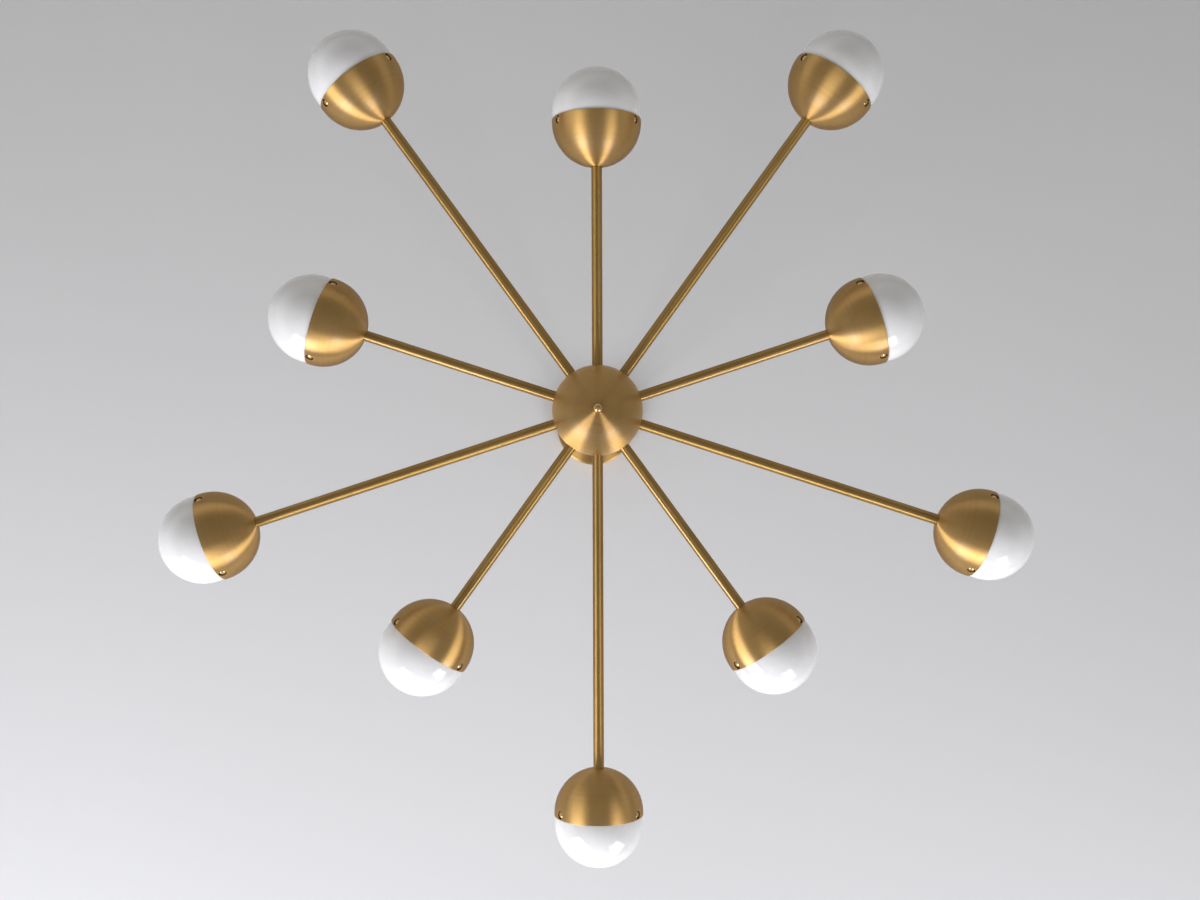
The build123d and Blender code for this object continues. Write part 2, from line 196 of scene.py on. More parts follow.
def turning_rings(graph: Graph, source: bpy.types.Node) -> tuple[Socket, Socket]:
    """Fine rings left by spinning and satin brushing, broken up where the pad lifted.

    Args:
        graph: The group's tree.
        source: Its input node; the turn's Y is the distance along the section.

    Returns:
        Tone and height sockets.
    """
    run = graph.node("SeparateXYZ", {0: source.outputs["Turn"]}).outputs["Y"]
    fine = graph.maths("MULTIPLY", run, source.outputs["Rings per metre"])
    rings = graph.spread(graph.noise(1.0, detail=3.0, w=fine), -RING_TONE, RING_TONE)
    coarse = graph.spread(graph.noise(COARSE_RINGS, detail=1.0, w=fine), -COARSE_TONE, COARSE_TONE)
    lift = graph.noise(PAD_LIFTS, vector=source.outputs["Place"])
    rings = graph.maths("MULTIPLY", rings, graph.spread(lift, LIFTED, 1.0))
    return graph.maths("ADD", graph.maths("ADD", rings, coarse), MIDDLE_TONE), rings


def tube_grain(graph: Graph, source: bpy.types.Node) -> tuple[Socket, Socket]:
    """Long fine scratches that run along a drawn and brushed tube.

    Args:
        graph: The group's tree.
        source: Its input node; the turn's X goes once round the tube, and its Y is the distance along it.

    Returns:
        Tone and height sockets.
    """
    turn = graph.node("SeparateXYZ", {0: source.outputs["Turn"]})
    angle = graph.maths("MULTIPLY", turn.outputs["X"], tau)
    count = source.outputs["Strands"]
    around = {
        "X": graph.maths("MULTIPLY", graph.maths("COSINE", angle), count),
        "Y": graph.maths("MULTIPLY", graph.maths("SINE", angle), count),
        "Z": graph.maths("MULTIPLY", turn.outputs["Y"], GRAIN_CHANGES),
    }
    strands = graph.noise(1.0, detail=3.0, vector=graph.node("CombineXYZ", around).outputs[0])
    return graph.spread(strands, 0.0, 1.0), strands


def scaled_place(graph: Graph, source: bpy.types.Node) -> Socket:
    """Multiply a group's Place by its Size; the node's scale is its input 3."""
    inputs = {0: source.outputs["Place"], 3: source.outputs["Size"]}
    return graph.node("VectorMath", inputs, operation="SCALE").outputs[0]


def handling(graph: Graph, source: bpy.types.Node) -> tuple[Socket, Socket]:
    """Soft clouds of tarnish and faint smudges.

    Args:
        graph: The group's tree.
        source: Its input node.

    Returns:
        Tone and height sockets.
    """
    near = scaled_place(graph, source)
    clouds = graph.noise(1.0, detail=4.0, vector=near)
    smudges = graph.spread(graph.noise(SMUDGES, detail=3.0, vector=near), 0.0, SMUDGE_TONE)
    return graph.maths("ADD", graph.spread(clouds, 0.0, 1 - SMUDGE_TONE), smudges), clouds


def cast_skin(graph: Graph, source: bpy.types.Node) -> tuple[Socket, Socket]:
    """Fine mottled skin of plated, moulded or fired parts.

    Args:
        graph: The group's tree.
        source: Its input node.

    Returns:
        Tone and height sockets.
    """
    grit = graph.noise(1.0, detail=5.0, vector=scaled_place(graph, source))
    return graph.spread(grit, 0.0, 1.0), grit


EFFECT_MAKERS = {
    Effect.RINGS: turning_rings,
    Effect.GRAIN: tube_grain,
    Effect.HANDLING: handling,
    Effect.CAST: cast_skin,
}


# ---- Finishes -----------------------------------------------------------------------------------------


@dataclass(frozen=True)
class Finish(ABC):
    """A surface finish: one material, and the record's slot that it stands for."""

    slot: str
    colour: Colour
    shade: Colour  # the darker colour of its marks
    roughness: float
    wear: tuple[float, float]  # how far its marks take the roughness from that
    relief: float  # how deep its marks are
    relief_strength: float
    wear_tones: tuple[float, float] = (0.0, 1.0)  # the tones of its marks between which the roughness changes
    clouds: float = 55.0  # clouds of handling to a metre
    metallic: float = 0.0

    def material(self) -> bpy.types.Material:
        """Give the finish's material, built on first use.

        Returns:
            The material, with all its nodes.
        """
        name = f"{self.slot}_{type(self).__name__.lower()}"
        if name in bpy.data.materials:
            return bpy.data.materials[name]
        made = bpy.data.materials.new(name)
        made.use_nodes = True
        made.node_tree.nodes.clear()
        graph = Graph(made.node_tree)
        tone, height = self.marks(graph)
        low, high = (self.roughness + change for change in self.wear)
        relief = {"Strength": self.relief_strength, "Distance": self.relief, "Height": height}
        inputs = {
            "Base Color": self.paint(graph, tone),
            "Roughness": graph.spread(tone, low, high, *self.wear_tones),
            "Normal": graph.node("Bump", relief).outputs[0],
            "Metallic": self.metallic,
            **self.character(graph),
        }
        shader = graph.node("BsdfPrincipled", inputs)
        graph.node("OutputMaterial", {"Surface": shader.outputs[0]})
        return made

    def place(self, graph: Graph) -> Socket:
        """Coordinates in the model's frame."""
        return graph.node("TexCoord").outputs["Object"]

    def turn(self, graph: Graph) -> Socket:
        """Coordinates round and along a turned piece."""
        return graph.node("UVMap", uv_map=TURN_MAP).outputs[0]

    def effect(self, graph: Graph, effect: Effect, **inputs: object) -> bpy.types.Node:
        """Place a shared effect with its inputs."""
        named = {name.replace("_", " ").capitalize(): value for name, value in inputs.items()}
        return graph.node("Group", named, node_tree=effect_group(effect))

    def turning(self, graph: Graph, rings: float) -> bpy.types.Node:
        """Place the rings that turning or spinning leaves."""
        place, turn = self.place(graph), self.turn(graph)
        return self.effect(graph, Effect.RINGS, turn=turn, place=place, rings_per_metre=rings)

    def cloud(self, graph: Graph) -> Socket:
        """Tone of the clouds that handling leaves."""
        return self.effect(graph, Effect.HANDLING, place=self.place(graph), size=self.clouds).outputs["Tone"]

    def paint(self, graph: Graph, tone: Socket) -> Socket:
        """Blend the finish's two colours by the tone of its marks."""
        return graph.mix(tone, (*self.colour, 1), (*self.shade, 1))

    def character(self, graph: Graph) -> dict[str, object]:
        """Further inputs of the shader, by name."""
        return {}

    @abstractmethod
    def marks(self, graph: Graph) -> tuple[Socket, Socket]:
        """Tone and height sockets of the finish's marks."""


@dataclass(frozen=True)
class SatinBrass(Finish):
    """Brass brushed round a piece's own axis and lacquered, so that its highlights draw out."""

    metallic: float = 1.0
    anisotropy: float = 1.0
    highlight_turn: float = 0.25  # a quarter turn, so that the highlight runs across the rings
    edge_tint: Colour = (0.5, 0.38, 0.28)  # what dims it towards a glancing look
    lacquer: float = 0.6
    lacquer_roughness: float = 0.36

    def character(self, graph: Graph) -> dict[str, object]:
        """Further inputs of the shader.

        Args:
            graph: The material's tree.

        Returns:
            Values and sockets, by the input's name.
        """
        tangent = graph.node("Tangent", direction_type="UV_MAP", uv_map=TURN_MAP)
        return {
            "Anisotropic": self.anisotropy,
            "Anisotropic Rotation": self.highlight_turn,
            "Specular Tint": (*self.edge_tint, 1),
            "Coat Weight": self.lacquer,
            "Coat Roughness": self.lacquer_roughness,
            "Tangent": tangent.outputs[0],
        }


@dataclass(frozen=True)
class SpunBrass(SatinBrass):
    """Satin brass spun to a dome or a dish, so that highlights draw out into wedges."""

    wear: tuple[float, float] = (-0.035, 0.045)
    wear_tones: tuple[float, float] = (0.1, 0.8)
    relief: float = 0.02 * MM
    relief_strength: float = 0.35
    clouds: float = 24.0
    rings: float = 2600.0
    faintest: float = 0.55  # what handling leaves of a ring's tone
    pocket_shade: Colour = (0.16, 0.085, 0.03)  # painted shade over the pressed pockets, standing in for their shadow

    def marks(self, graph: Graph) -> tuple[Socket, Socket]:
        """Rings of the spinning, fainter where it was handled.

        Args:
            graph: The material's tree.

        Returns:
            Tone and height sockets.
        """
        rings = self.turning(graph, self.rings)
        handled = graph.spread(self.cloud(graph), self.faintest, 1.0, start=0.0, end=1.0)
        return graph.maths("MULTIPLY", rings.outputs["Tone"], handled), rings.outputs["Height"]

    def paint(self, graph: Graph, tone: Socket) -> Socket:
        """Blend the two colours, and a painted shade over the pockets that stands in for their shadow.

        Args:
            graph: The material's tree.
            tone: Tone of the marks.

        Returns:
            The colour's socket.
        """
        # Faces far along the map are the pockets' and get the painted shade colour in place of their shadow.
        run = graph.node("SeparateXYZ", {0: self.turn(graph)}).outputs["Y"]
        pocket = graph.maths("GREATER_THAN", run, POCKET_START / 2)
        return graph.mix(pocket, super().paint(graph, tone), (*self.pocket_shade, 1))


@dataclass(frozen=True)
class TubeBrass(SatinBrass):
    """Satin brass tube, drawn along its length and brushed round it, so that highlights run along it."""

    wear: tuple[float, float] = (-0.02, 0.02)
    relief: float = 0.004 * MM
    relief_strength: float = 0.05
    clouds: float = 17.0
    lacquer: float = 0.45
    lacquer_roughness: float = 0.25
    strands: float = 26.0
    patina: float = 0.5  # how much of its tone is clouds of handling, the rest being grain

    def marks(self, graph: Graph) -> tuple[Socket, Socket]:
        """Grain along the tube, and clouds of handling.

        Args:
            graph: The material's tree.

        Returns:
            Tone and height sockets.
        """
        grain = self.effect(graph, Effect.GRAIN, turn=self.turn(graph), strands=self.strands)
        clouds = graph.maths("MULTIPLY", self.cloud(graph), self.patina)
        lines = graph.maths("MULTIPLY", grain.outputs["Tone"], 1 - self.patina)
        return graph.maths("ADD", lines, clouds), grain.outputs["Height"]


@dataclass(frozen=True)
class TurnedBrass(Finish):
    """Small brass parts turned on a lathe and polished."""

    wear: tuple[float, float] = (-0.04, 0.08)
    wear_tones: tuple[float, float] = (0.0, 0.7)
    relief: float = 0.01 * MM
    relief_strength: float = 0.2
    clouds: float = 90.0
    metallic: float = 1.0
    rings: float = 5200.0

    def marks(self, graph: Graph) -> tuple[Socket, Socket]:
        """Rings of the lathe, dulled by handling.

        Args:
            graph: The material's tree.

        Returns:
            Tone and height sockets.
        """
        rings = self.turning(graph, self.rings)
        return graph.maths("MULTIPLY", rings.outputs["Tone"], self.cloud(graph)), rings.outputs["Height"]


@dataclass(frozen=True)
class OpalGlass(Finish):
    """Glossy opal glass, white through its wall, with the faint waves of blown glass."""

    wear: tuple[float, float] = (-0.027, 0.036)
    relief: float = 0.2 * MM
    relief_strength: float = 0.12
    clouds: float = 11.0
    waves: float = 42.0  # waves to a metre
    ior: float = 1.52
    milk: float = 0.15  # how much of the light spreads inside the wall
    milk_depth: float = 8 * MM
    milk_colour: Colour = (1.0, 0.95, 0.9)

    def marks(self, graph: Graph) -> tuple[Socket, Socket]:
        """Clouds of handling over the glass's waves."""
        return self.cloud(graph), graph.noise(self.waves, detail=1.0, vector=self.place(graph))

    def character(self, graph: Graph) -> dict[str, object]:
        """Further inputs of the shader, by name."""
        return {
            "IOR": self.ior,
            "Subsurface Weight": self.milk,
            "Subsurface Radius": self.milk_colour,
            "Subsurface Scale": self.milk_depth,
        }


@dataclass(frozen=True)
class FrostedGlass(Finish):
    """Frosted capsule of a small bulb, seen through to its pale inside."""

    wear: tuple[float, float] = (-0.08, 0.08)
    relief: float = 0.04 * MM
    relief_strength: float = 0.4
    grit: float = 900.0  # grains of the frosting to a metre
    ior: float = 1.5
    clear: float = 0.35  # how much of the light passes through

    def marks(self, graph: Graph) -> tuple[Socket, Socket]:
        """Grains of the frosting."""
        skin = self.effect(graph, Effect.CAST, place=self.place(graph), size=self.grit)
        return skin.outputs["Tone"], skin.outputs["Height"]

    def character(self, graph: Graph) -> dict[str, object]:
        """Further inputs of the shader, by name."""
        return {"IOR": self.ior, "Transmission Weight": self.clear}


@dataclass(frozen=True)
class Skinned(Finish):
    """Plated, fired or moulded hardware with a fine mottled skin."""

    wear: tuple[float, float] = (-0.06, 0.1)
    relief: float = 0.03 * MM
    relief_strength: float = 0.3
    grit: float = 260.0  # grains of the skin to a metre
    grit_tone: float = 0.4  # how much the grains add to the clouds' tone
    marking: float = 0.7  # how strongly both show

    def marks(self, graph: Graph) -> tuple[Socket, Socket]:
        """Grains of the skin under clouds of handling.

        Args:
            graph: The material's tree.

        Returns:
            Tone and height sockets.
        """
        skin = self.effect(graph, Effect.CAST, place=self.place(graph), size=self.grit)
        grains = graph.maths("MULTIPLY", skin.outputs["Tone"], self.grit_tone)
        tone = graph.maths("ADD", grains, self.cloud(graph))
        return graph.maths("MULTIPLY", tone, self.marking), skin.outputs["Height"]


SPUN = SpunBrass("spun_brass", (0.75, 0.465, 0.155), (0.52, 0.30, 0.085), 0.48)
TUBE = TubeBrass("satin_brass_tube", (0.53, 0.325, 0.102), (0.37, 0.223, 0.059), 0.377)
TURNED = TurnedBrass("turned_brass", (0.68, 0.45, 0.20), (0.47, 0.29, 0.11), 0.2)
OPAL = OpalGlass("opal_glass", (0.91, 0.893, 0.868), (0.88, 0.86, 0.828), 0.09)
FROSTED = FrostedGlass("bulb_glass", (0.93, 0.92, 0.88), (0.86, 0.85, 0.80), 0.38)
CERAMIC = Skinned("lampholder_ceramic", (0.82, 0.80, 0.75), (0.70, 0.67, 0.60), 0.3)
BLANK = Skinned("turned_brass", (0.66, 0.44, 0.19), (0.45, 0.28, 0.11), 0.3, relief=0.01 * MM, metallic=1.0)
ZINC = Skinned("zinc_steel", (0.60, 0.60, 0.58), (0.42, 0.42, 0.41), 0.36, relief=0.02 * MM, metallic=1.0)
PLASTIC = Skinned("terminal_plastic", (0.80, 0.79, 0.75), (0.70, 0.69, 0.65), 0.45, grit=700.0)


# ---- Seats and turned shapes --------------------------------------------------------------------------


@dataclass(frozen=True)
class Seat:
    """A place for a piece: its Z runs along axis and its X along across."""

    origin: Vector
    axis: Vector
    across: Vector

    def matrix(self) -> Matrix:
        """Transform from the seat's own coordinates to the model's."""
        turned = Matrix((self.across, self.axis.cross(self.across), self.axis)).transposed().to_4x4()
        return Matrix.Translation(self.origin) @ turned

    def along(self, distance: float) -> Seat:
        """Seat further along the same axis."""
        return Seat(self.origin + self.axis * distance, self.axis, self.across)


def level_seat(height: float, facing: int = 1) -> Seat:
    """Seat on the stem's axis, facing up (1) or down (-1)."""
    return Seat(Vector((0, 0, height)), Vector((0, 0, facing)), Vector((1, 0, 0)))


def arc(centre: Point, radius: float, start: float, end: float, steps: int = SMALL_STEPS) -> list[Point]:
    """Points of an arc in a half section.

    Args:
        centre: Radius and height of its centre.
        radius: Its radius.
        start: First angle in degrees, from straight outward towards the axis's direction.
        end: Last angle in degrees.
        steps: How many chords it takes.

    Returns:
        The points from start to end.
    """
    angles = [radians(start + (end - start) * step / steps) for step in range(steps + 1)]
    return [(centre[0] + radius * cos(angle), centre[1] + radius * sin(angle)) for angle in angles]


def spun(section: Sequence[Point], segments: int, closed: bool = True, start: float = 0.0) -> bpy.types.Mesh:
    """Spin a half section about Z and map the result round and along the turn.

    Args:
        section: Points of radius and height, in order.
        segments: How many steps the turn takes.
        closed: Whether the last point joins the first.
        start: Where the distance along the section starts in the map.

    Returns:
        A mesh about the Z axis.
    """
    bm = bmesh.new()
    run_layer = bm.verts.layers.float.new("run")
    points = [bm.verts.new((radius, 0, height)) for radius, height in section]
    run = start
    for before, here in zip([points[0], *points], points):
        run += (here.co - before.co).length
        here[run_layer] = run
    edges = [bm.edges.new(pair) for pair in zip(points, points[1:])]
    if closed:
        edges.append(bm.edges.new((points[-1], points[0])))
    bmesh.ops.spin(
        bm, geom=points + edges, axis=(0, 0, 1), cent=(0, 0, 0), angle=tau, steps=segments, use_merge=True
    )
    bmesh.ops.remove_doubles(bm, verts=bm.verts, dist=SAME_PLACE)
    bmesh.ops.dissolve_degenerate(bm, edges=bm.edges, dist=NO_LENGTH)
    bmesh.ops.recalc_face_normals(bm, faces=bm.faces)
    map_turn(bm, run_layer)
    return finished_mesh(bm)


def stock(radius: float, length: float, edge: float, bore: float = 0.0) -> list[Point]:
    """Give the half section of a rod or tube with broken edges, standing on its seat.

    Args:
        radius: Its radius.
        length: Its length.
        edge: How much is broken off its edges.
        bore: Radius of its bore, if it has one.

    Returns:
        The section's points.
    """
    return [
        (bore, 0),
        (radius - edge, 0),
        (radius, edge),
        (radius, length - edge),
        (radius - edge, length),
        (bore, length),
    ]


def drill(radius: float, length: float, segments: int) -> bpy.types.Mesh:
    """Make a plain cylinder to cut with, standing on its seat."""
    return spun([(0, 0), (radius, 0), (radius, length), (0, length)], segments, closed=False)


def map_turn(bm: bmesh.types.BMesh, run_layer: bmesh.types.BMLayerItem) -> None:
    """Map each face by its angle about Z and its distance along the section.

    Args:
        bm: A spun mesh.
        run_layer: The distance of each vertex along the section.
    """
    turn = bm.loops.layers.uv.new(TURN_MAP)
    for face in bm.faces:
        middle = face.calc_center_median()
        centre = atan2(middle.y, middle.x) / tau
        for loop in face.loops:
            place = loop.vert.co
            angle = centre if hypot(place.x, place.y) < ON_AXIS else atan2(place.y, place.x) / tau
            loop[turn].uv = (angle - round(angle - centre), loop.vert[run_layer])


def smoothed(mesh: bpy.types.Mesh) -> bpy.types.Mesh:
    """Shade a mesh smooth but for its sharp edges.

    Args:
        mesh: The mesh, which is changed.

    Returns:
        The same mesh.
    """
    mesh.shade_smooth()
    mesh.set_sharp_from_angle(angle=SMOOTH_ANGLE)
    return mesh


def finished_mesh(bm: bmesh.types.BMesh) -> bpy.types.Mesh:
    """Turn a bmesh into a smooth mesh.

    Args:
        bm: The bmesh, which is freed.

    Returns:
        The new mesh.
    """
    mesh = bpy.data.meshes.new("piece")
    bm.to_mesh(mesh)
    bm.free()
    return smoothed(mesh)


def moved(mesh: bpy.types.Mesh, matrix: Matrix) -> bpy.types.Mesh:
    """Copy a mesh to another place.

    Args:
        mesh: The mesh, which stays as it is.
        matrix: Where the copy goes.

    Returns:
        The copy.
    """
    copy = mesh.copy()
    copy.transform(matrix)
    return copy


def joined(meshes: Iterable[bpy.types.Mesh]) -> bpy.types.Mesh:
    """Put several meshes into one, each still its own shell.

    Args:
        meshes: The meshes.

    Returns:
        A new mesh.
    """
    bm = bmesh.new()
    for mesh in meshes:
        bm.from_mesh(mesh)
    return finished_mesh(bm)


class Work(Enum):
    """What one mesh does to another, as the Boolean modifier names it."""

    CUT = "DIFFERENCE"
    WELD = "UNION"


def combined(mesh: bpy.types.Mesh, tool: bpy.types.Mesh, work: Work) -> bpy.types.Mesh:
    """Cut a mesh with another, or weld another to it.

    Args:
        mesh: What is cut or added to.
        tool: What it is cut with, or what is added.
        work: Which of the two.

    Returns:
        The new mesh.
    """
    base = bpy.data.objects.new("base", mesh)
    cutter = bpy.data.objects.new("cutter", tool)
    for temporary in (base, cutter):
        bpy.context.scene.collection.objects.link(temporary)
    step = base.modifiers.new("combine", "BOOLEAN")
    step.operation = work.value
    step.solver = "EXACT"
    step.object = cutter
    graph = bpy.context.evaluated_depsgraph_get()
    result = bpy.data.meshes.new_from_object(base.evaluated_get(graph))
    for temporary in (base, cutter):
        bpy.data.objects.remove(temporary)
    return smoothed(result)


def add_piece(
    name: str, mesh: bpy.types.Mesh, finish: Finish, body: str, replaces: Iterable[str] = ()
) -> bpy.types.Object:
    """Add a finished piece to the scene.

    Args:
        name: Its name.
        mesh: Its mesh, in the model's frame.
        finish: How its surface looks.
        body: The body that it moves with.
        replaces: The nodes of the model that it stands for.

    Returns:
        The new object, at the origin.
    """
    mesh.name = name
    mesh.materials.clear()
    mesh.materials.append(finish.material())
    piece = bpy.data.objects.new(name, mesh)
    bpy.context.scene.collection.objects.link(piece)
    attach(piece, body)
    if replaces:
        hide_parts(*replaces)
    LOG.info("%s: %d faces on %s", name, len(mesh.polygons), body)
    return piece


# ---- Sub-assemblies -----------------------------------------------------------------------------------


@dataclass(frozen=True)
class Tube:
    """Straight tube with broken edges at its ends."""

    radius: float = 6 * MM
    bore: float = 4.5 * MM
    edge: float = 0.3 * MM
    segments: int = 48

    def mesh(self, length: float) -> bpy.types.Mesh:
        """Make the tube, standing on its seat."""
        return spun(stock(self.radius, length, self.edge, self.bore), self.segments)


@dataclass
class Canopy:
    """Ceiling canopy, the collar that holds it up and the collar's set screw."""

    radius: float = 59 * MM
    depth: float = 30 * MM
    wall: float = 1 * MM
    segments: int = 128
    corner: float = 4 * MM
    corner_steps: tuple[int, int] = (10, 8)  # outside and inside
    hole: float = 6.3 * MM  # for the stem
    lip: float = 0.3 * MM
    collar_radius: float = 11 * MM
    collar_bore: float = 6.08 * MM
    collar_height: float = 12 * MM
    collar_round: float = 1 * MM
    collar_steps: int = 6
    collar_segments: int = 72
    screw_radius: float = 2 * MM
    screw_hole: float = 2.05 * MM
    screw_inset: float = 0.8 * MM  # from the collar's side in to the screw's end
    screw_length: float = 3.9 * MM
    screw_segments: int = 32
    screw_sides: int = 6  # of the socket in its end

    def shell(self) -> bpy.types.Mesh:
        """Make the canopy.

        Returns:
            The canopy, its mouth up against the ceiling.
        """
        centre = (self.radius - self.corner, self.corner)
        inside = self.radius - self.wall
        outside_steps, inside_steps = self.corner_steps
        section = [
            (self.hole, 0),
            *arc(centre, self.corner, -90, 0, outside_steps),
            *arc((self.radius - self.lip, self.depth - self.lip), self.lip, 0, 90),
            *arc((inside + self.lip, self.depth - self.lip), self.lip, 90, 180),
            *arc(centre, self.corner - self.wall, 0, -90, inside_steps),
            (self.hole, self.wall),
        ]
        return moved(spun(section, self.segments), level_seat(-self.depth).matrix())

    def collar(self) -> bpy.types.Mesh:
        """Make the collar, hanging from the canopy.

        Returns:
            The collar, with the cross hole for its set screw.
        """
        curve, edge = self.collar_round, self.collar_round / 3
        section = [
            (self.collar_bore, 0),
            *arc((self.collar_radius - edge, edge), edge, -90, 0),
            *arc((self.collar_radius - curve, self.collar_height - curve), curve, 0, 90, self.collar_steps),
            (self.collar_bore, self.collar_height),
        ]
        ring = moved(spun(section, self.collar_segments), level_seat(-self.depth, -1).matrix())
        length = self.collar_radius
        hole = drill(self.screw_hole, length, self.screw_segments)
        return combined(ring, moved(hole, self.screw_seat(-length / 2).matrix()), Work.CUT)

    def screw_seat(self, out: float) -> Seat:
        """Seat across the collar, out from its side."""
        origin = Vector((0, self.collar_radius + out, -self.depth - self.collar_height / 2))
        return Seat(origin, Vector((0, 1, 0)), Vector((1, 0, 0)))

    def set_screw(self) -> bpy.types.Mesh:
        """Make the set screw.

        Returns:
            The screw, with a hexagon socket in its end.
        """
        socket_depth = self.screw_radius
        hexagon = drill(self.screw_radius / 2, 2 * socket_depth, self.screw_sides)
        socket = moved(hexagon, Matrix.Translation((0, 0, self.screw_length - socket_depth)))
        section = stock(self.screw_radius, self.screw_length, edge=self.screw_radius / 6)
        screw = combined(spun(section, self.screw_segments, closed=False), socket, Work.CUT)
        return moved(screw, self.screw_seat(-self.screw_inset - self.screw_length).matrix())

    def build(self) -> None:
        """Add the canopy and what holds it up."""
        add_piece("canopy_shell", self.shell(), SPUN, "canopy", ["canopy"])
        add_piece("canopy_grip", self.collar(), TURNED, "canopy", ["canopy_collar"])
        add_piece("canopy_grip_screw", self.set_screw(), TURNED, "canopy", ["collar_screw"])


@dataclass
class Hub:
    """Ball hub: two spun shells that meet in the plane of the arms, and the finial under them."""

    level: float
    radius: float = 51 * MM
    segments: int = 160
    steps: tuple[int, int] = (44, 30)  # of each half's section, outside and inside
    wall: float = 1 * MM
    top_flat: float = 6.5 * MM
    top_hole: float = 5.2 * MM
    bottom_flat: float = 4.7 * MM
    bottom_hole: float = 3.2 * MM
    lip: float = 0.25 * MM
    rod_hole: float = 6.2 * MM
    rod_hole_start: float = 40 * MM  # from the hub's axis to where the cut for one starts
    rod_hole_segments: int = 48
    finial_radius: float = 5.4 * MM
    finial_segments: int = 64
    finial_steps: int = 30
    finial_neck: float = 4.2 * MM  # radius of the short collar over it
    finial_collar: float = 1.2 * MM  # height of that collar
    finial_bore: float = 3.05 * MM
    finial_bore_depth: float = 7.5 * MM

    def seat(self, facing: int) -> Seat:
        """Seat at the ball's centre."""
        return level_seat(self.level, facing)

    def shell(self, flat: float, hole: float, facing: int, seats: Iterable[Seat]) -> bpy.types.Mesh:
        """Make one half of the ball.

        Args:
            flat: Radius of the flat at its pole.
            hole: Radius of the hole there.
            facing: 1 for the upper half, -1 for the lower half.
            seats: The arms' seats at the hub's axis.

        Returns:
            The half, with its half holes for the arms.
        """
        outer, inner, lip = self.radius, self.radius - self.wall, self.lip
        outer_steps, inner_steps = self.steps
        pole = sqrt(outer**2 - flat**2)
        section = [
            (hole, pole),
            *arc((0, 0), outer, degrees(acos(flat / outer)), degrees(lip / outer), outer_steps),
            *arc((outer - lip, lip), lip, 0, -90),
            *arc((inner + lip, lip), lip, -90, -180),
            *arc((0, 0), inner, degrees(lip / inner), degrees(asin((pole - self.wall) / inner)), inner_steps),
            (hole, pole - self.wall),
        ]
        half = moved(spun(section, self.segments), self.seat(facing).matrix())
        rod = drill(self.rod_hole, outer, self.rod_hole_segments)
        holes = joined(moved(rod, seat.along(self.rod_hole_start).matrix()) for seat in seats)
        return combined(half, holes, Work.CUT)

    def finial(self) -> bpy.types.Mesh:
        """Make the ball finial.

        Returns:
            The finial on its short collar, under the lower shell.
        """
        turn = degrees(acos(self.finial_neck / self.finial_radius))
        centre = (0, self.finial_collar + self.finial_radius * sin(radians(turn)))
        section = [
            *arc(centre, self.finial_radius, 90, -turn, self.finial_steps),
            *arc((self.finial_neck - self.lip, self.lip), self.lip, 0, -90),
            (self.finial_bore, 0),
            (self.finial_bore, self.finial_bore_depth),
            (0, self.finial_bore_depth),
        ]
        pole = sqrt(self.radius**2 - self.bottom_flat**2)
        ball = spun(section, self.finial_segments, closed=False)
        return moved(ball, level_seat(self.level - pole, -1).matrix())

    def build(self, seats: Iterable[Seat]) -> None:
        """Add the hub's three outer pieces.

        Args:
            seats: The arms' seats at the hub's axis.
        """
        upper = self.shell(self.top_flat, self.top_hole, 1, seats)
        add_piece("hub_upper", upper, SPUN, "fixture", ["hub_upper_shell"])
        lower = self.shell(self.bottom_flat, self.bottom_hole, -1, seats)
        add_piece("hub_lower", lower, SPUN, "hub_cover", ["hub_lower_shell"])
        add_piece("ball_finial", self.finial(), TURNED, "finial", ["finial"])


